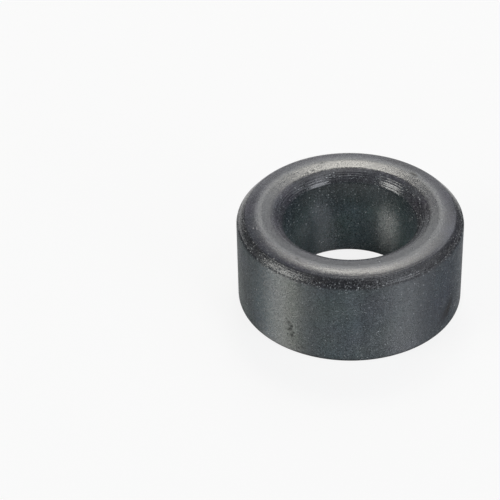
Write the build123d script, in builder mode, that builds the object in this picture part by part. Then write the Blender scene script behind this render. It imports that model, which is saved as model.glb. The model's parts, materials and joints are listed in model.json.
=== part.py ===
from build123d import *
import os

# Ferrite toroid core: a ring that is pressed from ferrite powder in a die and sintered to one hard piece.
# Lengths are in millimetres. The ring lies on its flat base, with the origin at the centre of the base
# and +Z up along the ring's axis.

# Overall sizes of the ring
outer_diameter = 31.0
bore_diameter = 18.3
height = 13.6

# Depths below the crest of the crowned upper face, where the straight walls end
outer_wall_depth = 1.42
bore_wall_depth = 1.78

# The crown is a low dome between two soft creases. Each place is a share of the way across the ring's
# section, from the bore to the outer wall, and each drop is a depth below the crest.
mouth_crease_share = 0.248
crest_share = 0.504
shoulder_crease_share = 0.827
mouth_crease_drop = 0.21
shoulder_crease_drop = 0.33

# Rounds that lead from the creases down to the walls
shoulder_radius = 4.0
mouth_radius = 5.0

# Narrow land that the rim of the punch leaves round the top of the outer wall
land_width = 0.2
land_drop = 0.1

# Rounding of the two edges of the base
base_edge_radius = 0.25

# Places on the half section, as radius and height
outer_radius = outer_diameter / 2
bore_radius = bore_diameter / 2
section_width = outer_radius - bore_radius
outer_wall_top = (outer_radius, height - outer_wall_depth)
land_inner_edge = (outer_radius - land_width, height - outer_wall_depth + land_drop)
shoulder_crease = (bore_radius + shoulder_crease_share * section_width, height - shoulder_crease_drop)
crest = (bore_radius + crest_share * section_width, height)
mouth_crease = (bore_radius + mouth_crease_share * section_width, height - mouth_crease_drop)
bore_wall_top = (bore_radius, height - bore_wall_depth)
outward = (1, 0)
inward = (-1, 0)

# The ring: its half section is carried once round the axis. The dome is two arcs that are level where
# they meet at the crest, so the crest is the highest place.
with BuildPart() as ferrite_core:
    with BuildSketch(Plane.XZ) as half_section:
        with BuildLine() as outline:
            base = Line((bore_radius, 0), (outer_radius, 0))
            outer_wall = Line(base @ 1, outer_wall_top)
            land = Line(outer_wall @ 1, land_inner_edge)
            shoulder = RadiusArc(shoulder_crease, land @ 1, shoulder_radius)
            outer_dome = TangentArc(crest, shoulder_crease, tangent=outward)
            inner_dome = TangentArc(crest, mouth_crease, tangent=inward)
            mouth = RadiusArc(bore_wall_top, mouth_crease, mouth_radius)
            bore_wall = Line(bore_wall_top, base @ 0)
        make_face()
    revolve(axis=Axis.Z)
    base_edges = ferrite_core.edges().group_by(Axis.Z)[0]
    fillet(base_edges, radius=base_edge_radius)

ferrite_core.part.label = "ferrite_core"

os.makedirs("parts", exist_ok=True)
export_step(ferrite_core.part, "parts/ferrite_core.step")
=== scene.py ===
# %% [markdown]
# # A ferrite toroid core
#
# This ring is the core of a choke. Wire or cable goes through its bore, and the ferrite carries the
# magnetic field. It is one piece of ceramic: dark ferrite powder is pressed in a steel die between two
# punches, and the pressed ring is sintered in a kiln, which makes it hard. So the lesson has one mesh
# and one material. The care goes into the section of the ring, the marks of the press and the way the
# sintered skin takes the light.
#
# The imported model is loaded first. It fixes the size and the place of the ring, so nothing is moved
# afterwards.

# %% Load the fixed frame
import json
from collections import namedtuple
import bpy
import numpy as np
from mathutils import Matrix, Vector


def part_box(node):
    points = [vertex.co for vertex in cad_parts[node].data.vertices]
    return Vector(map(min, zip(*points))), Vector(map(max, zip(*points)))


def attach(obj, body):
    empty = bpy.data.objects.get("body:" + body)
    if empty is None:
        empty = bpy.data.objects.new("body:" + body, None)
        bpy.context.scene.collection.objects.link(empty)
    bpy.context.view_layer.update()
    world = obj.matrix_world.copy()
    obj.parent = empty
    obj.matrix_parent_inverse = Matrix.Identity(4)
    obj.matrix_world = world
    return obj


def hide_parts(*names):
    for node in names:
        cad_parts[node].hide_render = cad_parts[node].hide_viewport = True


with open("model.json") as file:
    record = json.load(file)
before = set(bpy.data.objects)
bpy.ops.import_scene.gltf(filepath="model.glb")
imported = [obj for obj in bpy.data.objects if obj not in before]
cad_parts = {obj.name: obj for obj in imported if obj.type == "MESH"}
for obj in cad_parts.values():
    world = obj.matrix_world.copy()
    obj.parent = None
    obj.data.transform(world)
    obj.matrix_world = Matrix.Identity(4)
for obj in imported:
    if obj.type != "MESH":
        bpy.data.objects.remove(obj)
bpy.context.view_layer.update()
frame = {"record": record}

# %% [markdown]
# ## The overall sizes
#
# A pressed ring is the same all the way round, so one section tells its whole shape. Its overall sizes
# could be typed in again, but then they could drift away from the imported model. So they are read from
# the frame: the box gives the outer radius and the height, and two mounts give the bore and the straight
# lengths of the walls. Sizes of the ring are in millimetres here, and become metres when the mesh is
# built.

# %% Read the overall sizes
MM = 0.001
_, high_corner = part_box("ferrite_core")
mount_sizes = {mount["name"]: mount["dims"] for mount in frame["record"]["mounts"]}
outer_radius = round(high_corner.x / MM, 3)
bore_radius = mount_sizes["bore"]["r_mm"]
height = round(high_corner.z / MM, 3)
base_edge = 0.25
outer_wall_top = mount_sizes["outer_wall"]["length_mm"] + base_edge
bore_wall_top = mount_sizes["bore"]["length_mm"] + base_edge
print(f"ring of {2 * outer_radius} x {2 * bore_radius} x {height} mm")

# %% [markdown]
# ## The sizes of the crown
#
# The upper punch is dished, which gives the ring its crowned face between two creases. From each crease
# a round leads down to a wall, and the rim of the punch leaves a narrow land at the top of the outer
# wall. The outer half of the crown is one arc that is level at the crest. The inner half turns over a
# short arc and then falls as a cone. The place of the crest and of each crease is a share of the way
# from the bore to the outer wall, and a drop is a depth below the crest.

# %% Name the sizes of the crown
land_width, land_drop = 0.2, 0.1
shoulder_radius, mouth_radius = 4.0, 2.8
shoulder_crease_share, shoulder_crease_drop = 0.827, 0.33
mouth_crease_share, mouth_crease_drop = 0.248, 0.225
crest_share, crest_turn_radius, cone_slope = 0.54, 4.0, np.radians(8.2)
section_width = outer_radius - bore_radius
land_edge = (outer_radius - land_width, outer_wall_top + land_drop)
shoulder_crease = (bore_radius + shoulder_crease_share * section_width, height - shoulder_crease_drop)
crest = (bore_radius + crest_share * section_width, height)
mouth_crease = (bore_radius + mouth_crease_share * section_width, height - mouth_crease_drop)
print(f"crest at radius {crest[0]:.2f}, creases at {mouth_crease[0]:.2f} and {shoulder_crease[0]:.2f} mm")

# %% [markdown]
# ## Lines and arcs
#
# The outline could be drawn as a curve object and spun with a Screw modifier. Here it is worked out with
# numpy, because then the marks of the press can be put into the very same surface. Two helpers are
# enough: one for straight stretches and one for round ones. Both give points about a hundredth of a
# millimetre apart and leave out the last one, which is the first of the next stretch.

# %% Draw straight and round stretches
OUTLINE_STEP = 0.01


def straight(start, end):
    """Points at even steps on the straight line from start to end, without the end itself."""
    start, end = np.array(start), np.array(end)
    count = int(np.ceil(np.linalg.norm(end - start) / OUTLINE_STEP))
    return start + (end - start) * np.arange(count)[:, None] / count


def arc(start, end, radius):
    """Points on an arc that goes from start to end and bulges to the right, without the end itself.

    The centre lies on the middle line of the chord, to its left, where both ends are one radius away.
    Each point is the centre plus the radius times a direction that turns evenly from end to end.
    """
    start, end = np.array(start), np.array(end)
    chord = np.linalg.norm(end - start)
    along = (end - start) / chord
    right = np.array([along[1], -along[0]])
    half_turn = np.arcsin(chord / 2 / radius)
    centre = (start + end) / 2 - right * radius * np.cos(half_turn)
    count = int(np.ceil(2 * half_turn * radius / OUTLINE_STEP))
    turn = (-half_turn + 2 * half_turn * np.arange(count) / count)[:, None]
    return centre + radius * (np.cos(turn) * right + np.sin(turn) * along)


shoulder = arc(land_edge, shoulder_crease, shoulder_radius)
print(f"the shoulder is a round of {len(shoulder)} points")

# %% [markdown]
# ## The outline of the section
#
# The outline goes once round the section: outwards along the base, up the outer wall, inwards over the
# crown and down the bore. The ring's body is then always on the left, so the outward direction is always
# on the right. The shoulder, the mouth and the bore each have two kinds of skin, so they are split in
# two. Every point keeps the name of its stretch, and finishes and marks are placed by those names later
# on.

# %% Join the stretches of the outline
LOWER_SHOULDER_SHARE, UPPER_MOUTH_SHARE, UPPER_BORE_SHARE = 0.45, 0.35, 0.35


def split(points, share):
    """The points before and after a share of a stretch."""
    return np.split(points, [round(share * len(points))])


# An arc that is level at the crest and ends at the crease has the radius (reach² + drop²) / (2 drop).
crown_reach = shoulder_crease[0] - crest[0]
crown_radius = (crown_reach**2 + shoulder_crease_drop**2) / (2 * shoulder_crease_drop)
cone_top_radius = crest[0] - crest_turn_radius * np.sin(cone_slope)
cone_top = (cone_top_radius, height - crest_turn_radius * (1 - np.cos(cone_slope)))
bore_top, bore_foot = (bore_radius, bore_wall_top), (bore_radius, base_edge)
lower_shoulder, upper_shoulder = split(shoulder, LOWER_SHOULDER_SHARE)
upper_mouth, lower_mouth = split(arc(mouth_crease, bore_top, mouth_radius), UPPER_MOUTH_SHARE)
upper_bore, lower_bore = split(straight(bore_top, bore_foot), UPPER_BORE_SHARE)
stretches = {
    "base": straight((bore_radius + base_edge, 0.0), (outer_radius - base_edge, 0.0)),
    "outer_base_edge": arc((outer_radius - base_edge, 0.0), (outer_radius, base_edge), base_edge),
    "outer_wall": straight((outer_radius, base_edge), (outer_radius, outer_wall_top)),
    "land": straight((outer_radius, outer_wall_top), land_edge),
    "lower_shoulder": lower_shoulder,
    "upper_shoulder": upper_shoulder,
    "outer_crown": arc(shoulder_crease, crest, crown_radius),
    "crest_turn": arc(crest, cone_top, crest_turn_radius),
    "inner_crown": straight(cone_top, mouth_crease),
    "upper_mouth": upper_mouth,
    "lower_mouth": lower_mouth,
    "upper_bore": upper_bore,
    "lower_bore": lower_bore,
    "inner_base_edge": arc(bore_foot, (bore_radius + base_edge, 0.0), base_edge),
}
point_counts = [len(points) for points in stretches.values()]
outline = np.concatenate(list(stretches.values()))
outline_labels = np.repeat(list(stretches), point_counts)
print(f"outline of {len(outline)} points in {len(stretches)} stretches")

# %% [markdown]
# ## Soft corners
#
# No corner of a sintered ring is knife sharp. A Bevel modifier would add faces along every edge. A
# weighted mean of neighbouring points, with weights that fall like a bell curve, does the same on the
# outline itself: it rounds each corner by a few hundredths of a millimetre and leaves the straight runs
# as they are. The two creases and the land are worn rounder than the rest, so a wider mean takes over
# near them.

# %% Soften the corners
CORNER_SOFTNESS = 0.04


def soften(values, softness):
    """Mean of the neighbours round the closed outline, weighted by exp(-(distance / softness)² / 2)."""
    places = np.arange(len(values))
    distance = np.minimum(places, len(values) - places) * OUTLINE_STEP
    weights = np.exp(-((distance / softness) ** 2) / 2)
    spread = np.fft.fft(weights / weights.sum())[:, None]
    return np.real(np.fft.ifft(np.fft.fft(values, axis=0) * spread, axis=0))


# corner, softness in mm, how far from the corner it holds in mm
worn_corners = [
    (mouth_crease, 0.16, 0.40),
    (shoulder_crease, 0.10, 0.35),
    ((outer_radius - land_width / 2, outer_wall_top + land_drop / 2), 0.16, 0.35),
]
soft_outline = soften(outline, CORNER_SOFTNESS)
for corner, softness, reach in worn_corners:
    nearness = np.exp(-((np.linalg.norm(outline - np.array(corner), axis=1) / reach) ** 2))[:, None]
    soft_outline = (1 - nearness) * soft_outline + nearness * soften(outline, softness)
print(f"corners moved by up to {np.linalg.norm(soft_outline - outline, axis=1).max():.3f} mm")

# %% [markdown]
# ## Rows of the grid
#
# The ring will be a grid of rows along the section and columns round the axis. Even rows would waste
# vertices on the plain walls. So each stretch has a density: rows are closest on the rounds, where the
# marks of the punch are fine, wider on the crown, and widest on the walls and the base. The density is
# added up along the outline, and the rows are set at even steps of that sum.

# %% Spread the rows
ROWS = 270
ROUND_DENSITY, CROWN_DENSITY, WALL_DENSITY, BASE_DENSITY = 8.0, 4.0, 1.2, 0.4
row_density = dict.fromkeys(stretches, ROUND_DENSITY)
row_density |= dict.fromkeys(["outer_crown", "crest_turn", "inner_crown"], CROWN_DENSITY)
row_density |= dict.fromkeys(["outer_wall", "upper_bore", "lower_bore"], WALL_DENSITY)
row_density |= {"base": BASE_DENSITY}
step_lengths = np.linalg.norm(np.roll(soft_outline, -1, axis=0) - soft_outline, axis=1)
closed_length = np.concatenate([[0.0], np.cumsum(step_lengths)])
density = np.array([row_density[label] for label in outline_labels])
row_sum = np.concatenate([[0.0], np.cumsum(step_lengths * density)])
row_length = np.interp(np.arange(ROWS) / ROWS * row_sum[-1], row_sum, closed_length)


def on_rows(values):
    """A value along the outline, read at each row of the grid."""
    return np.interp(row_length, closed_length, np.append(values, values[0]))


row_radius, row_height = on_rows(soft_outline[:, 0]), on_rows(soft_outline[:, 1])
row_gaps = np.diff(row_length)
print(f"section {closed_length[-1]:.2f} mm round, rows {row_gaps.min():.3f} to {row_gaps.max():.3f} mm")

# %% [markdown]
# ## Marks of the punch
#
# The punch that forms the crown was turned on a lathe, so its face leaves fine rings on the ferrite.
# They show best on the two rounds, where the light grazes them. A bump texture would shade like rings
# but leave the mesh smooth. These are real grooves, a few hundredths of a millimetre deep, so they go
# into the surface: each is a bell-shaped dip across the section, and its depth swells and fades as it
# goes round, because the powder doesn't take the print evenly.

# %% Press the rings of the punch into the rounds
COLUMNS = 360
azimuth = np.arange(COLUMNS) / COLUMNS * 2 * np.pi


def place_on(stretch, share):
    """Length along the outline to a place that is a share of the way along a stretch."""
    lengths = closed_length[:-1][outline_labels == stretch]
    return lengths[0] + share * (lengths[-1] - lengths[0])


def groove(stretch, share, half_width, depth, swell, lobes, phase):
    """Dip of a ring mark: depth times a bell curve across the section times a slow wave round the ring."""
    across = np.exp(-(((row_length - place_on(stretch, share)) / half_width) ** 2))
    around = 1 - swell * (0.5 + 0.5 * np.cos(lobes * azimuth + phase))
    return depth * np.outer(across, around)


# stretch, share along it, half width and depth in mm, how far it fades, waves round the ring, their phase
punch_rings = [
    ("outer_crown", 0.12, 0.055, 0.014, 0.4, 2, 3.1),
    ("upper_shoulder", 0.62, 0.060, 0.014, 0.5, 3, 1.1),
    ("upper_shoulder", 0.14, 0.060, 0.012, 0.7, 2, 4.0),
    ("lower_shoulder", 0.66, 0.060, 0.018, 0.5, 2, 2.2),
    ("lower_shoulder", 0.20, 0.060, 0.018, 0.5, 3, 0.6),
    ("upper_mouth", 0.55, 0.060, 0.007, 0.7, 2, 3.0),
    ("lower_mouth", 0.04, 0.075, 0.036, 0.3, 3, 0.3),
    ("lower_mouth", 0.27, 0.075, 0.042, 0.2, 2, 5.2),
    ("lower_mouth", 0.52, 0.090, 0.028, 0.4, 2, 1.5),
    ("lower_mouth", 0.78, 0.090, 0.020, 0.5, 3, 2.6),
]
dip = sum(groove(*ring_mark) for ring_mark in punch_rings)
print(f"{len(punch_rings)} punch rings, deepest {dip.max():.3f} mm")

# %% [markdown]
# ## Dents, pits and a scratch
#
# The ring has been handled, and it has a few small marks: a shallow dent at the back right of the crown
# with a darker line painted in it, single pits where grains broke out of the crown, and a scratch of pits
# down the outer wall. They could be sculpted by hand, but a formula is easier to change. Each mark is a
# round dip. Its place is given by the angle from the front of the ring and the place across the section,
# and the distance to it is measured on the surface. Each mark also has a share of darkening, by which the
# material paints it darker; the darker line in the dent is painted shade.

# %% Add the dents and pits
def turn_from(angle):
    """Turn in radians from an angle in degrees to each column, at most half a round either way."""
    return (azimuth - np.radians(angle) + np.pi) % (2 * np.pi) - np.pi


def pit(angle, stretch, share, half_width):
    """Share of a pit: exp(-(distance / half width)²), with the distance measured along the surface."""
    around = np.outer(row_radius, turn_from(angle))
    across = (row_length - place_on(stretch, share))[:, None]
    return np.exp(-(around**2 + across**2) / half_width**2)


# angle from the front in degrees, stretch, share along it, half width and depth in mm, share of darkening
pits = [
    (131.2, "crest_turn", 0.20, 0.45, 0.035, 0.2),
    (133.6, "crest_turn", 0.12, 0.22, 0.020, 0.8),
    (131.6, "crest_turn", 0.20, 0.22, 0.020, 0.9),
    (129.6, "crest_turn", 0.16, 0.22, 0.020, 0.8),
    (-36.6, "outer_crown", 0.93, 0.22, 0.030, 0.8),
    (-156.0, "inner_crown", 0.70, 0.18, 0.035, 0.9),
    (-150.6, "inner_crown", 0.82, 0.18, 0.035, 0.9),
    (-164.4, "crest_turn", 0.65, 0.20, 0.025, 0.6),
    (-34.6, "outer_wall", 0.385, 0.20, 0.045, 0.8),
    (-33.2, "outer_wall", 0.345, 0.22, 0.050, 0.9),
    (-33.9, "outer_wall", 0.295, 0.24, 0.050, 0.9),
    (-32.2, "outer_wall", 0.262, 0.20, 0.045, 0.8),
    (-32.9, "outer_wall", 0.215, 0.24, 0.050, 0.9),
    (-35.4, "outer_wall", 0.275, 0.18, 0.040, 0.6),
]
pit_shares = np.stack([pit(*mark[:4]) for mark in pits])
pit_depths, pit_darkening = np.array([mark[4:] for mark in pits]).T
# the pits are painted darker by this share; in the dent it is painted shade
pit_darkening_share = np.clip(np.tensordot(pit_darkening, pit_shares, 1), 0, 1)
dip = dip + np.tensordot(pit_depths, pit_shares, 1)
print(f"{len(pits)} pits and dents, deepest place of the skin {dip.max():.3f} mm")

# %% [markdown]
# ## A brown stain
#
# Ferrite is mostly iron oxide and doesn't rust by itself, but iron from a tool or a tray can leave a
# brown stain. There is one low on the right of the outer wall, a slanting smear. It has no depth, so it
# is only a share that the material reads. The share is a bell along the smear times a narrower bell
# across it, and a second, fainter smear beside the first makes its edge uneven.

# %% Place the stain
FAINT_SHARE = 0.7


def smear(angle, middle_height, slant, half_length, half_width):
    """Share of a stain: exp(-(along / half length)² - (across / half width)²), turned by the slant."""
    tilt = np.radians(slant)
    sideways = np.outer(row_radius, turn_from(angle))
    upward = (row_height - middle_height)[:, None]
    along = sideways * np.cos(tilt) + upward * np.sin(tilt)
    across = upward * np.cos(tilt) - sideways * np.sin(tilt)
    on_outer_wall = (row_radius > outer_radius - base_edge)[:, None]
    return on_outer_wall * np.exp(-((along / half_length) ** 2) - (across / half_width) ** 2)


dark_smear = smear(angle=56.6, middle_height=3.1, slant=55.0, half_length=1.6, half_width=0.55)
faint_smear = smear(angle=54.0, middle_height=2.9, slant=45.0, half_length=1.5, half_width=0.9)
stain_share = np.maximum(dark_smear, FAINT_SHARE * faint_smear)
print(f"the stain covers {(stain_share > 0.5).sum()} vertices")

# %% [markdown]
# ## A finish for each stretch of the section
#
# The die scraped the walls as the ring was pushed out, the punch pressed the crown smooth, and the
# rounds, where punch and die part, stayed open and grainy. So the skin differs along the section. A
# material for each stretch would leave hard seams between them. Instead, each stretch gets a finish,
# which is a set of numbers for one material: the colour of its body, the roughness of its gloss, how far
# its grains tip sideways and upright, how far they lie open upwards like ledges, how far its crystals
# tilt, how many of them flash, how much painted glint those cells and the glint dots get, and how
# mottled it is.

# %% Choose the finishes
Finish = namedtuple("Finish", "colour roughness grain upright_grain ledge facet flash glint mottle")
scraped_wall = Finish("#4b5154", 0.33, 0.42, 1.60, 0.75, 0.11, 0.045, 0.45, 0.55)
# the body colour of the base edges is painted shade where the ring meets the floor
shaded_edge = Finish("#202224", 0.40, 0.50, 1.00, 1.60, 0.10, 0.020, 0.30, 0.45)
# the body colour of the bore is painted shade near its top and painted light near its foot
shaded_upper_scrape = Finish("#384244", 0.26, 0.25, 1.20, 0.14, 0.13, 0.065, 0.90, 0.60)
lit_lower_scrape = Finish("#586567", 0.26, 0.25, 1.50, 0.90, 0.12, 0.045, 0.90, 0.60)
grainy_round = Finish("#2c2c30", 0.24, 0.25, 0.25, 0.00, 0.19, 0.120, 0.45, 0.60)
dull_round = Finish("#2a2a2e", 0.27, 0.30, 0.30, 0.00, 0.19, 0.080, 0.25, 0.60)
outer_press = Finish("#48484f", 0.26, 0.30, 0.30, 0.00, 0.06, 0.012, 0.30, 0.25)
crest_press = Finish("#343439", 0.24, 0.25, 0.25, 0.00, 0.05, 0.012, 0.30, 0.15)
inner_press = Finish("#2e2e34", 0.20, 0.20, 0.20, 0.00, 0.04, 0.012, 0.30, 0.12)
soft_mouth = Finish("#4c4c52", 0.28, 0.35, 0.35, 0.00, 0.14, 0.040, 0.40, 0.60)
turned_mouth = Finish("#46464c", 0.13, 0.20, 0.18, 0.00, 0.10, 0.080, 0.60, 0.70)
finish_of = {
    "base": scraped_wall,
    "outer_base_edge": shaded_edge,
    "outer_wall": scraped_wall,
    "land": grainy_round,
    "lower_shoulder": grainy_round,
    "upper_shoulder": dull_round,
    "outer_crown": outer_press,
    "crest_turn": crest_press,
    "inner_crown": inner_press,
    "upper_mouth": soft_mouth,
    "lower_mouth": turned_mouth,
    "upper_bore": shaded_upper_scrape,
    "lower_bore": lit_lower_scrape,
    "inner_base_edge": shaded_edge,
}
print(f"{len(set(finish_of.values()))} finishes for {len(finish_of)} stretches")

# %% [markdown]
# ## Finishes that run into one another
#
# On the ring one finish runs into the next. So the numbers of the finishes are laid along the outline
# and softened, with the same weighted mean that rounds the corners. Most of them change within a few
# tenths of a millimetre. In the bore the change is slow: over several millimetres below the mouth the
# scraped skin fades in, and its colour goes from painted shade near the top to painted light near the
# foot. Colours are picked as hex values, as a screen shows them, and light is worked out with linear
# values, so a small function turns one into the other.

# %% Lay the finishes along the section
FINISH_SOFTNESS, BORE_SOFTNESS = 0.12, 1.8


def linear(hex_colour):
    """Linear colour of an sRGB hex value.

    A part of up to 0.04045 is divided by 12.92. A larger one is ((part + 0.055) / 1.055) to the power 2.4.
    """
    parts = np.array([int(hex_colour[i : i + 2], 16) for i in (1, 3, 5)]) / 255
    parts = np.where(parts <= 0.04045, parts / 12.92, ((parts + 0.055) / 1.055) ** 2.4)
    return (*parts.tolist(), 1.0)


def along_section(values_of_stretches):
    """Values of the stretches, softened along the outline, read at the rows and repeated round the ring."""
    values = np.repeat(np.array(values_of_stretches), point_counts, axis=0)
    in_bore = np.isin(outline_labels, ["upper_bore", "lower_bore"])[:, None]
    softened = np.where(in_bore, soften(values, BORE_SOFTNESS), soften(values, FINISH_SOFTNESS))
    return np.repeat(np.stack([on_rows(column) for column in softened.T], axis=-1), COLUMNS, axis=0)


finishes = [finish_of[stretch] for stretch in stretches]
body_colour = along_section([linear(finish.colour) for finish in finishes])
finish_values = along_section([finish[1:] for finish in finishes])
finish_numbers = dict(zip(Finish._fields[1:], finish_values.T))
print("each vertex has a body colour and", ", ".join(finish_numbers))

# %% [markdown]
# ## Painted light and shade in patches
#
# The lamps don't give every shade of the ring, so the colour of the body is painted lighter, darker,
# bluer or warmer in patches round it. These are painted light and painted shade, some of them tinted: a
# lighter front, darker ends and a darker right stripe on the outer wall, a warm painted highlight on its
# left stripe, a lighter and a darker patch low in the bore, painted shade near the dent in the crown, a
# lighter right shoulder and a darker right mouth. Noise alone would put such patches anywhere, so they
# are placed one by one and matched to the look of the ring. Each is a soft share of one stretch around
# an angle, and it multiplies the colour of the body there. On the right, the shoulder looks darker than
# an open round would. Its skin is taken to be dragged by the die, so that its grains lie open upwards
# like those of the wall.

# %% Paint light and shade on the skin in patches
PATCH_SOFTNESS = 0.6
DRAGGED_LEDGE, DRAGGED_ANGLE, DRAGGED_HALF_WIDTH = 0.55, 90, 20


def patch(stretches_of_patch, angle, half_width):
    """Share of a patch: a soft step onto its stretches times exp(-(turn from its middle / half width)²)."""
    inside = np.isin(outline_labels, stretches_of_patch).astype(float)[:, None]
    across = on_rows(soften(inside, PATCH_SOFTNESS)[:, 0])
    around = np.exp(-((np.degrees(turn_from(angle)) / half_width) ** 2))
    return np.outer(across, around).ravel()


# stretch, angle from the front and half width in degrees, gains of red, green and blue
painted_light_patches = [
    ("outer_wall", 58, 22, (0.55, 0.61, 0.74)),
    ("outer_wall", -34, 7, (1.14, 1.10, 0.88)),
    ("outer_wall", -50, 10, (0.62, 0.78, 0.92)),
    ("outer_wall", 28, 16, (0.78, 0.78, 0.78)),
    ("outer_wall", -5, 20, (1.42, 1.46, 1.48)),
    ("lower_bore", 172, 16, (1.60, 1.60, 1.65)),
    ("lower_bore", 212, 22, (0.32, 0.46, 0.48)),
    ("outer_crown", 145, 16, (0.40, 0.40, 0.37)),
    ("upper_shoulder", 70, 18, (1.70, 1.70, 1.70)),
    ("upper_mouth", 76, 28, (0.45, 0.45, 0.45)),
    ("lower_mouth", 80, 28, (0.30, 0.30, 0.30)),
]
# painted light and shade: each patch scales the body colour by its gains
for stretch, angle, half_width, gains in painted_light_patches:
    body_colour[:, :3] *= 1 + patch([stretch], angle, half_width)[:, None] * (np.array(gains) - 1)
dragged = patch(["land", "lower_shoulder", "upper_shoulder"], DRAGGED_ANGLE, DRAGGED_HALF_WIDTH)
finish_numbers["ledge"] += DRAGGED_LEDGE * dragged
print(f"{len(painted_light_patches)} patches of painted_light_and_shade and one of dragged skin")

# %% [markdown]
# ## The ring as one surface
#
# A Screw modifier would spin the section into a smooth ring, but it couldn't change the marks on the way
# round. So each vertex is worked out by itself: it is a row of the section at a column round the axis,
# moved inwards by its dip, so the marks never stand proud of the ring. The last row joins the first and
# the last column joins the first, so the surface is closed like a tyre, with no seam and no pole.

# %% Work out the surface
tangent = np.roll(soft_outline, -1, axis=0) - np.roll(soft_outline, 1, axis=0)
tangent /= np.linalg.norm(tangent, axis=1)[:, None]
out_radius, out_height = on_rows(tangent[:, 1]), on_rows(-tangent[:, 0])


def ring_surface():
    """Vertices of the ring: (radius sin a, -radius cos a, height) for each row and angle a from the front.

    Radius and height are the outline's, less the dip along the outward direction. Faces join each vertex
    to the next row and column, and the numbering wraps round both ways.
    """
    radius = row_radius[:, None] - dip * out_radius[:, None]
    level = row_height[:, None] - dip * out_height[:, None]
    points = np.stack([radius * np.sin(azimuth), -radius * np.cos(azimuth), level], axis=-1)
    row, column = np.meshgrid(np.arange(ROWS), np.arange(COLUMNS), indexing="ij")
    next_row, next_column = (row + 1) % ROWS, (column + 1) % COLUMNS
    corners = [(row, column), (row, next_column), (next_row, next_column), (next_row, column)]
    quads = np.stack([r * COLUMNS + c for r, c in corners], axis=-1)
    return points.reshape(-1, 3) * MM, quads.reshape(-1, 4)


vertices, faces = ring_surface()
print(f"{len(vertices)} vertices and {len(faces)} faces with four corners")

# %% [markdown]
# ## The mesh and what it carries
#
# The material has to know the finish of each place. A texture image could tell it, but would need a file
# and a UV map. So the numbers are written on the vertices as attributes, each under its own name, and
# Blender blends them between vertices. The darkening of the pits and the stain go the same way. Then the
# mesh becomes an object that rides on the imported part and stands for its solid.

# %% Build the mesh
ring_mesh = bpy.data.meshes.new("ferrite_ring")
ring_mesh.from_pydata(vertices, [], faces)
ring_mesh.shade_smooth()
skin_numbers = {**finish_numbers, "dirt": pit_darkening_share.ravel(), "stain": stain_share.ravel()}
for name, values in skin_numbers.items():
    ring_mesh.attributes.new(name, "FLOAT", "POINT").data.foreach_set("value", values.astype(np.float32))
colours = ring_mesh.attributes.new("body_colour", "FLOAT_COLOR", "POINT")
colours.data.foreach_set("color", body_colour.ravel().astype(np.float32))
ring = bpy.data.objects.new("ferrite_ring", ring_mesh)
bpy.context.scene.collection.objects.link(ring)
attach(ring, "root")
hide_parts("ferrite_core")
print(f"ring mesh of {2 * len(faces)} triangles with {len(skin_numbers)} numbers on each vertex")

# %% [markdown]
# ## The material: sintered nickel-zinc ferrite
#
# Sintered ferrite is a dense dark ceramic. Its body is nearly black, so most of what the eye sees is
# light from the skin: a soft satin sheen on the crown, where the punch was smooth, and a dull gloss on
# the walls, which the die scraped. The grains are crystals, and here and there one has a flat face that
# flashes like a speck of glitter. A material is a tree of nodes. They could be placed by hand in the
# Shader Editor. In a script, one small function that adds a node with its settings and links keeps the
# tree readable.

# %% Start the material
def add_node(tree, kind, inputs=None, **settings):
    """Adds a node with its settings and returns its outputs. Inputs are values or sockets to link from."""
    node = tree.nodes.new(kind)
    for name, value in settings.items():
        setattr(node, name, value)
    for name, value in (inputs or {}).items():
        if isinstance(value, bpy.types.NodeSocket):
            tree.links.new(value, node.inputs[name])
        else:
            node.inputs[name].default_value = value
    return node.outputs


ferrite = bpy.data.materials.new("sintered_nickel_zinc_ferrite")
ferrite.use_nodes = True
tree = ferrite.node_tree
tree.nodes.clear()
ring_mesh.materials.append(ferrite)
coordinates = add_node(tree, "ShaderNodeTexCoord")["Object"]
colour = add_node(tree, "ShaderNodeAttribute", attribute_name="body_colour")["Color"]
skin = {name: add_node(tree, "ShaderNodeAttribute", attribute_name=name)["Fac"] for name in skin_numbers}
print("material", ferrite.name, "reads", ", ".join(skin))

# %% [markdown]
# ## Clouds, streaks and tints
#
# The body colour isn't even. Soft clouds a few millimetres wide come from uneven firing, and faint
# upright streaks on the walls from the die. Both are noise, because neither repeats. A texture's scale
# is how many times its pattern repeats in a metre, so it is one divided by the real size. For the
# streaks, the height is squeezed before the noise is read, which draws them out upright. A third noise,
# with a value of its own for red, green and blue, tints the skin a little this way and that.

# %% Vary the colour of the skin
CLOUD_SIZE, TINT_SIZE = 4.0 * MM, 5.0 * MM
STREAK_WIDTH, STREAK_SQUEEZE = 0.8 * MM, 0.06
NOISE_SWING, SHADE_SWING, TINT_SWING = 0.4, 0.25, 0.2
cloud_inputs = {"Vector": coordinates, "Scale": 1 / CLOUD_SIZE, "Detail": 3.0}
clouds = add_node(tree, "ShaderNodeTexNoise", cloud_inputs)
squeeze_inputs = {"Vector": coordinates, "Scale": (1.0, 1.0, STREAK_SQUEEZE)}
squeezed = add_node(tree, "ShaderNodeMapping", squeeze_inputs)
streak_inputs = {"Vector": squeezed[0], "Scale": 1 / STREAK_WIDTH, "Detail": 2.0}
streaks = add_node(tree, "ShaderNodeTexNoise", streak_inputs)
uneven = add_node(tree, "ShaderNodeMath", {0: clouds["Fac"], 1: streaks["Fac"]}, operation="ADD")
noise_range = {"From Min": 1 - NOISE_SWING, "From Max": 1 + NOISE_SWING}
shade_range = {"To Min": 1 - SHADE_SWING, "To Max": 1 + SHADE_SWING}
shade = add_node(tree, "ShaderNodeMapRange", {"Value": uneven[0], **noise_range, **shade_range})
colour = add_node(tree, "ShaderNodeVectorMath", {0: colour, "Scale": shade[0]}, operation="SCALE")[0]
tint_inputs = {"Vector": coordinates, "Scale": 1 / TINT_SIZE, "Detail": 1.0}
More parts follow.
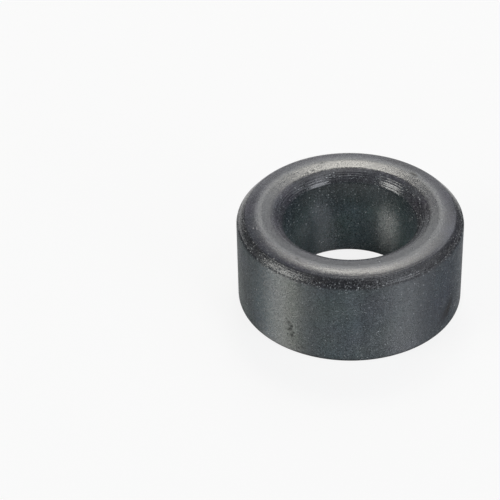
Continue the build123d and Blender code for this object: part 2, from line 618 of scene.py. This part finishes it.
tints = add_node(tree, "ShaderNodeTexNoise", tint_inputs)
tint_gain = {0: tints["Color"], 1: (TINT_SWING,) * 3, 2: (1 - TINT_SWING / 2,) * 3}
tints = add_node(tree, "ShaderNodeVectorMath", tint_gain, operation="MULTIPLY_ADD")
colour = add_node(tree, "ShaderNodeVectorMath", {0: colour, 1: tints[0]}, operation="MULTIPLY")[0]
print("clouds of", CLOUD_SIZE / MM, "mm and streaks of", STREAK_WIDTH / MM, "mm")

# %% [markdown]
# ## Crystals
#
# Each crystal of the skin is a little lighter or darker than the next. Noise is too soft for that, since
# crystals have edges. A Voronoi texture divides the skin into cells and gives each one its own random
# colour. The three parts of that colour are three lots: the second one sets the shade of the cell. Real
# crystals are about a hundredth of a millimetre wide, which is finer than a pixel here, so the cells are
# drawn coarser, about an eighth of a millimetre wide, to show at all.

# %% Mottle the skin with crystals
CRYSTAL_SIZE = 0.12 * MM
crystals = add_node(tree, "ShaderNodeTexVoronoi", {"Vector": coordinates, "Scale": 1 / CRYSTAL_SIZE})
lots = add_node(tree, "ShaderNodeSeparateColor", {0: crystals["Color"]})
swing = add_node(tree, "ShaderNodeMapRange", {"Value": lots[1], "To Min": -1.0, "To Max": 1.0})
mottle_inputs = {0: swing[0], 1: skin["mottle"], 2: 1.0}
mottle = add_node(tree, "ShaderNodeMath", mottle_inputs, operation="MULTIPLY_ADD")
colour = add_node(tree, "ShaderNodeVectorMath", {0: colour, "Scale": mottle[0]}, operation="SCALE")[0]
print("crystal cells of", CRYSTAL_SIZE / MM, "mm")

# %% [markdown]
# ## Crystals that flash
#
# Here and there a crystal has a flat, clean face that flashes like glitter. The first lot of each cell
# chooses which cells flash. A chosen cell is painted lighter, which is a painted glint, and its face is
# tilted by the cell's own colour, so that it catches a light that the skin around it doesn't see. The
# other cells tilt too, but less. Few cells flash on the walls and on the crown, and more on the rounds,
# where the skin is open.

# %% Choose and tilt the crystal faces
PAINTED_FLASH_GREY = "#9aa0a2"
FLASH_EDGE, CRYSTAL_TILT = 0.03, 1.0
MIDDLE_GREY = (0.5, 0.5, 0.5)
# places of a Mix node's sockets when it mixes colours
MIX_FACTOR, MIX_A, MIX_B, MIX_RESULT = 0, 6, 7, 2
drawn = add_node(tree, "ShaderNodeMath", {0: lots[0], 1: skin["flash"]}, operation="ADD")
flash_range = {"From Min": 1.0, "From Max": 1.0 + FLASH_EDGE}
flash = add_node(tree, "ShaderNodeMapRange", {"Value": drawn[0], **flash_range})[0]
# a flashing cell is painted lighter: a painted glint
painted_flash_share = add_node(tree, "ShaderNodeMath", {0: flash, 1: skin["glint"]}, operation="MULTIPLY")
painted_flash_mix = {MIX_FACTOR: painted_flash_share[0], MIX_A: colour, MIX_B: linear(PAINTED_FLASH_GREY)}
colour = add_node(tree, "ShaderNodeMix", painted_flash_mix, data_type="RGBA")[MIX_RESULT]
lean = add_node(tree, "ShaderNodeVectorMath", {0: crystals["Color"], 1: MIDDLE_GREY}, operation="SUBTRACT")
tilt_inputs = {0: flash, 1: CRYSTAL_TILT, 2: skin["facet"]}
tilt = add_node(tree, "ShaderNodeMath", tilt_inputs, operation="MULTIPLY_ADD")
crystal_lean = add_node(tree, "ShaderNodeVectorMath", {0: lean[0], "Scale": tilt[0]}, operation="SCALE")[0]
print("flashing crystals lean by up to", CRYSTAL_TILT / 2, "of a length of one")

# %% [markdown]
# ## Painted glints
#
# A few specks are larger, rounder and almost white. They are painted glints: near-white dots in the
# colour that stand in for crystals catching the light. They are a second Voronoi texture with wider
# cells. It also gives the distance to the middle of each cell, so a chosen cell gets a round dot instead
# of filling out to its edges. They are drawn twice as far apart as the crystals, again so that they show.

# %% Scatter the painted glints
PAINTED_GLINT_WHITE = "#e4e8ea"
GLINT_DOT_SPACING, GLINT_DOT_SHARE = 0.25 * MM, 0.4
DOT_EDGE, DOT_HEART = 0.45, 0.25
glint_dots = add_node(tree, "ShaderNodeTexVoronoi", {"Vector": coordinates, "Scale": 1 / GLINT_DOT_SPACING})
glint_dot_lots = add_node(tree, "ShaderNodeSeparateColor", {0: glint_dots["Color"]})
draw_inputs = {0: skin["flash"], 1: GLINT_DOT_SHARE, 2: glint_dot_lots[0]}
glint_dot_draw = add_node(tree, "ShaderNodeMath", draw_inputs, operation="MULTIPLY_ADD")
chosen = add_node(tree, "ShaderNodeMath", {0: glint_dot_draw[0], 1: 1.0}, operation="GREATER_THAN")
dot_inputs = {"Value": glint_dots["Distance"], "From Min": DOT_EDGE, "From Max": DOT_HEART}
dot = add_node(tree, "ShaderNodeMapRange", dot_inputs)
glint_dot = add_node(tree, "ShaderNodeMath", {0: chosen[0], 1: dot[0]}, operation="MULTIPLY")
glint_dot = add_node(tree, "ShaderNodeMath", {0: glint_dot[0], 1: skin["glint"]}, operation="MULTIPLY")
# the dots are painted glints, mixed into the colour
glint_dot_mix = {MIX_FACTOR: glint_dot[0], MIX_A: colour, MIX_B: linear(PAINTED_GLINT_WHITE)}
colour = add_node(tree, "ShaderNodeMix", glint_dot_mix, data_type="RGBA")[MIX_RESULT]
print(f"flakes {GLINT_DOT_SPACING / MM} mm apart, up to {2 * DOT_EDGE * GLINT_DOT_SPACING / MM:.2f} mm wide")

# %% [markdown]
# ## Stain and darkened pits
#
# The mesh already says where the stain is and how far each pit is painted darker. A stain that dries on a
# grainy skin is never even, so noise breaks it up a little before it is mixed into the colour. The
# darkening of the pits is mixed in as it is, and in the dent it is painted shade. The larger of the two
# shares is kept for the gloss, because both are given a duller gloss than clean ferrite.

# %% Add the stain and the darkened pits
STAIN_BROWN, PIT_DARK_COLOUR = "#1e140e", "#101112"
STAIN_GRAIN, STAIN_LEAST = 0.5 * MM, 0.8
stain_noise = add_node(tree, "ShaderNodeTexNoise", {"Vector": coordinates, "Scale": 1 / STAIN_GRAIN})
break_range = {"From Min": 0.3, "From Max": 0.6, "To Min": STAIN_LEAST}
broken = add_node(tree, "ShaderNodeMapRange", {"Value": stain_noise["Fac"], **break_range})
stain = add_node(tree, "ShaderNodeMath", {0: skin["stain"], 1: broken[0]}, operation="MULTIPLY")
stain_mix = {MIX_FACTOR: stain[0], MIX_A: colour, MIX_B: linear(STAIN_BROWN)}
colour = add_node(tree, "ShaderNodeMix", stain_mix, data_type="RGBA")[MIX_RESULT]
# the pits are painted darker; in the dent this is painted shade
darkening_mix = {MIX_FACTOR: skin["dirt"], MIX_A: colour, MIX_B: linear(PIT_DARK_COLOUR)}
colour = add_node(tree, "ShaderNodeMix", darkening_mix, data_type="RGBA")[MIX_RESULT]
darkened = add_node(tree, "ShaderNodeMath", {0: stain[0], 1: skin["dirt"]}, operation="MAXIMUM")[0]
print("stain broken up by noise of", STAIN_GRAIN / MM, "mm")

# %% [markdown]
# ## Grain
#
# Grains tip the skin this way and that, which spreads its reflections. A Bump node could do it, but here
# the direction of the skin is tipped directly, because then it can be tipped more one way than another.
# The grains are noise: its three colour channels, less a half, are a small vector that is added to the
# skin's own direction. On the walls the die dragged the skin, so there the grains tip mostly up and
# down, and their upper sides lie open like ledges, which draws each lamp out into an upright stripe.
# Elsewhere they tip any way. The stain and the darkened pits lie open upwards too. The grains are drawn
# a twentieth of a millimetre wide, coarser than real ones.

# %% Tip the grains
FINE_GRAIN = 0.05 * MM
DARKENED_LEDGE = 0.9
grain_inputs = {"Vector": coordinates, "Scale": 1 / FINE_GRAIN, "Detail": 0.0}
grain = add_node(tree, "ShaderNodeTexNoise", grain_inputs)
grain = add_node(tree, "ShaderNodeVectorMath", {0: grain["Color"], 1: MIDDLE_GREY}, operation="SUBTRACT")
tip_inputs = {0: skin["grain"], 1: skin["grain"], 2: skin["upright_grain"]}
tip = add_node(tree, "ShaderNodeCombineXYZ", tip_inputs)
grain_lean = add_node(tree, "ShaderNodeVectorMath", {0: grain[0], 1: tip[0]}, operation="MULTIPLY")[0]
ledge_inputs = {0: darkened, 1: DARKENED_LEDGE, 2: skin["ledge"]}
ledge = add_node(tree, "ShaderNodeMath", ledge_inputs, operation="MULTIPLY_ADD")
ledge_lean = add_node(tree, "ShaderNodeCombineXYZ", {2: ledge[0]})[0]
normal = add_node(tree, "ShaderNodeNewGeometry")["Normal"]
for skin_lean in (crystal_lean, ledge_lean, grain_lean):
    normal = add_node(tree, "ShaderNodeVectorMath", {0: normal, 1: skin_lean}, operation="ADD")[0]
normal = add_node(tree, "ShaderNodeVectorMath", {0: normal}, operation="NORMALIZE")[0]
print("grains of", FINE_GRAIN / MM, "mm")

# %% [markdown]
# ## Gloss
#
# Roughness says how far the skin spreads a reflection on a scale too small for the grains above. One
# number for the whole ring would look like plastic. So it comes from the finish, and the third lot of
# each crystal cell makes it a little smoother or rougher. Flashing faces, the stain and the darkened pits
# have a roughness of their own. Polished ferrite bends light strongly, with an index of about 2.3. The
# open, sintered skin acts as if it were lower, so the index is matched to the look of the ring. It is the
# same all over, so it is set on the shader's own socket.

# %% Finish the shader
FACE_ROUGHNESS, DARKENED_ROUGHNESS = 0.25, 0.6
GLOSS_SWING, SKIN_INDEX = 0.5, 1.7
# places of a Mix node's sockets when it mixes numbers
NUMBER_FACTOR, NUMBER_A, NUMBER_B = 0, 2, 3
swing_range = {"To Min": -GLOSS_SWING, "To Max": GLOSS_SWING}
swing = add_node(tree, "ShaderNodeMapRange", {"Value": lots[2], **swing_range})
gloss_inputs = {0: swing[0], 1: skin["mottle"], 2: 1.0}
cell_gloss = add_node(tree, "ShaderNodeMath", gloss_inputs, operation="MULTIPLY_ADD")
rough = add_node(tree, "ShaderNodeMath", {0: skin["roughness"], 1: cell_gloss[0]}, operation="MULTIPLY")
for share, own_roughness in ((flash, FACE_ROUGHNESS), (darkened, DARKENED_ROUGHNESS)):
    rough_mix = {NUMBER_FACTOR: share, NUMBER_A: rough[0], NUMBER_B: own_roughness}
    rough = add_node(tree, "ShaderNodeMix", rough_mix, data_type="FLOAT")
shader_inputs = {"Base Color": colour, "Roughness": rough[0], "IOR": SKIN_INDEX, "Normal": normal}
shader = add_node(tree, "ShaderNodeBsdfPrincipled", shader_inputs)
add_node(tree, "ShaderNodeOutputMaterial", {"Surface": shader[0]})
print(f"{len(tree.nodes)} nodes in {ferrite.name}")

# %% [markdown]
# ## Paint for the floor
#
# A dark satin ring shows what lies around it, so the floor is part of its look. It is painted matt white.
# More light would whiten it further, but would bleach the ring as well. So to the camera, and in the
# ring's reflections, most of its light is its own plain white. The rest is lit by the lamps, which keeps
# a soft shadow under the ring.

# %% Mix the floor paint
LIT_WHITE, OWN_WHITE = "#f0f0f0", "#ffffff"
WHITE_SHARE = 0.85
floor_paint = bpy.data.materials.new("matt_white_floor_paint")
floor_paint.use_nodes = True
floor_tree = floor_paint.node_tree
floor_tree.nodes.clear()
rays = add_node(floor_tree, "ShaderNodeLightPath")
seen = rays["Is Camera Ray"]
for ray in ("Is Glossy Ray", "Is Transmission Ray"):
    seen = add_node(floor_tree, "ShaderNodeMath", {0: seen, 1: rays[ray]}, operation="MAXIMUM")[0]
own_share = add_node(floor_tree, "ShaderNodeMath", {0: seen, 1: WHITE_SHARE}, operation="MULTIPLY")
lit = add_node(floor_tree, "ShaderNodeBsdfDiffuse", {"Color": linear(LIT_WHITE)})
own = add_node(floor_tree, "ShaderNodeEmission", {"Color": linear(OWN_WHITE), "Strength": 1.0})
floor_mix = add_node(floor_tree, "ShaderNodeMixShader", {0: own_share[0], 1: lit[0], 2: own[0]})
add_node(floor_tree, "ShaderNodeOutputMaterial", {"Surface": floor_mix[0]})
print("floor paint", floor_paint.name, "with", WHITE_SHARE, "of its own white")

# %% [markdown]
# ## Floor
#
# The floor is a plain disc, far wider than the picture, so that no edge of it shows. A plane would do as
# well, but its corners could come into a low view. It lies a hair below the base of the ring, because two
# faces at the same height would break up into patches.

# %% Lay the floor
FLOOR_RADIUS, FLOOR_CORNERS = 2.0, 96
FLOOR_DROP = 0.02 * MM
corner_angle = np.arange(FLOOR_CORNERS) / FLOOR_CORNERS * 2 * np.pi
corner_height = np.full(FLOOR_CORNERS, -FLOOR_DROP)
floor_corners = [FLOOR_RADIUS * np.cos(corner_angle), FLOOR_RADIUS * np.sin(corner_angle), corner_height]
floor_mesh = bpy.data.meshes.new("floor")
floor_mesh.from_pydata(np.stack(floor_corners, axis=-1), [], [list(range(FLOOR_CORNERS))])
floor_mesh.materials.append(floor_paint)
floor = bpy.data.objects.new("floor", floor_mesh)
bpy.context.scene.collection.objects.link(floor)
print("floor of", FLOOR_RADIUS, "m radius")

# %% [markdown]
# ## Light
#
# The light is a plain studio set. One huge lamp would leave a dark ring flat, so several softboxes each
# light what the eye looks for. Those behind the ring make the sheen of the crown: the brighter, higher
# ones on its front and on its inner slope at the back, and the strip and the panels below them on the
# rest. A large softbox at the left and a lower one at the right draw the upright stripes on the outer
# wall, in the bore and in its mouth. Panels at the right fill in between, and a small softbox overhead
# lights the rounds that face the camera. Each lamp is given by where it stands, its size and how bright
# its face is, and its power follows from those.

# %% Set up the softboxes
LAMP_DISTANCE = 0.6


def softbox(name, angle, elevation, width, tall, brightness, hex_colour):
    """An area lamp that faces the ring: power = brightness x pi x area. The angle is from the front."""
    lamp = bpy.data.lights.new(name, "AREA")
    lamp.shape = "RECTANGLE"
    lamp.size, lamp.size_y = width, tall
    lamp.energy = brightness * np.pi * width * tall
    lamp.color = linear(hex_colour)[:3]
    turn, rise = np.radians(angle), np.radians(elevation)
    towards = np.array([np.sin(turn) * np.cos(rise), -np.cos(turn) * np.cos(rise), np.sin(rise)])
    sideways = np.array([np.cos(turn), np.sin(turn), 0.0])
    axes = np.column_stack([sideways, np.cross(towards, sideways), towards])
    stand = bpy.data.objects.new(name, lamp)
    stand.matrix_world = Matrix.Translation(towards * LAMP_DISTANCE) @ Matrix(axes.tolist()).to_4x4()
    bpy.context.scene.collection.objects.link(stand)
    return lamp


# name, angle from the front and elevation in degrees, width and height in metres, brightness, colour
lamp_places = [
    ("back_softbox", 178, 56, 0.14, 0.13, 11.0, "#fffcf3"),
    ("right_back_softbox", 156, 61, 0.14, 0.20, 4.3, "#fffcf3"),
    ("back_strip", 178, 35, 0.11, 0.18, 2.25, "#fdffff"),
    ("back_panel", 157, 41, 0.36, 0.20, 1.2, "#fdffff"),
    ("low_back_panel", 180, 17, 0.55, 0.15, 1.0, "#fbfcff"),
    ("left_softbox", -72, 25, 0.29, 0.30, 5.1, "#fffffa"),
    ("right_softbox", 49, 16, 0.28, 0.20, 3.7, "#f6f9ff"),
    ("front_right_panel", 44, 33, 0.24, 0.20, 1.4, "#f4f8ff"),
    ("right_side_panel", 84, 34, 0.24, 0.20, 1.2, "#f8faff"),
    ("high_right_panel", 58, 62, 0.22, 0.18, 2.8, "#f8faff"),
    ("right_panel", 120, 42, 0.36, 0.20, 0.6, "#f4f8ff"),
    ("top_softbox", 0, 82, 0.13, 0.13, 2.7, "#fdffff"),
]
lamps = [softbox(*place) for place in lamp_places]
print(len(lamps), "lamps of", [round(lamp.energy, 2) for lamp in lamps], "W")

# %% [markdown]
# ## The room
#
# Between the lamps the ring mirrors the room. A bright room would lay a grey veil over the dark ferrite,
# and a black one would leave the rounds without any shade of their own. So the room is a dim, even grey,
# set as the world's background.

# %% Dim the room
ROOM_GREY, ROOM_STRENGTH = "#808488", 0.4
room = bpy.data.worlds.new("dim_room")
room.use_nodes = True
background = room.node_tree.nodes["Background"].inputs
background["Color"].default_value = linear(ROOM_GREY)
background["Strength"].default_value = ROOM_STRENGTH
bpy.context.scene.world = room
print("room of", ROOM_GREY, "at a strength of", ROOM_STRENGTH)

# %% [markdown]
# ## Camera
#
# The camera looks down on the table at about 37 degrees, through a long lens, so the ring shows hardly
# any perspective. The ring is right of the middle of the picture and a little below it. The lens could
# be shifted for that. Instead the camera stands to the left of the ring and looks past it, so that no
# shift is carried into other views. It is rolled a degree and a half.

# %% Place the camera
CAMERA_ELEVATION, CAMERA_ROLL = np.radians(37.32), np.radians(-1.584)
CAMERA_DEPTH, RING_RIGHT, RING_BELOW = 281.17 * MM, 13.734 * MM, 5.903 * MM
LENS, SENSOR = 144.6, 36.0
level_right = np.array([1.0, 0.0, 0.0])
level_up = np.array([0.0, np.sin(CAMERA_ELEVATION), np.cos(CAMERA_ELEVATION)])
towards_camera = np.array([0.0, -np.cos(CAMERA_ELEVATION), np.sin(CAMERA_ELEVATION)])
camera_right = np.cos(CAMERA_ROLL) * level_right + np.sin(CAMERA_ROLL) * level_up
camera_up = np.cos(CAMERA_ROLL) * level_up - np.sin(CAMERA_ROLL) * level_right
camera_place = CAMERA_DEPTH * towards_camera - RING_RIGHT * level_right + RING_BELOW * level_up
camera_data = bpy.data.cameras.new("photo_camera")
camera_data.lens, camera_data.sensor_width = LENS, SENSOR
camera = bpy.data.objects.new("photo_camera", camera_data)
camera_axes = np.column_stack([camera_right, camera_up, towards_camera])
camera.matrix_world = Matrix.Translation(camera_place) @ Matrix(camera_axes.tolist()).to_4x4()
bpy.context.scene.collection.objects.link(camera)
bpy.context.scene.camera = camera
bpy.context.scene.view_settings.view_transform = "Standard"
print("camera at", (camera_place / MM).round(1), "mm")
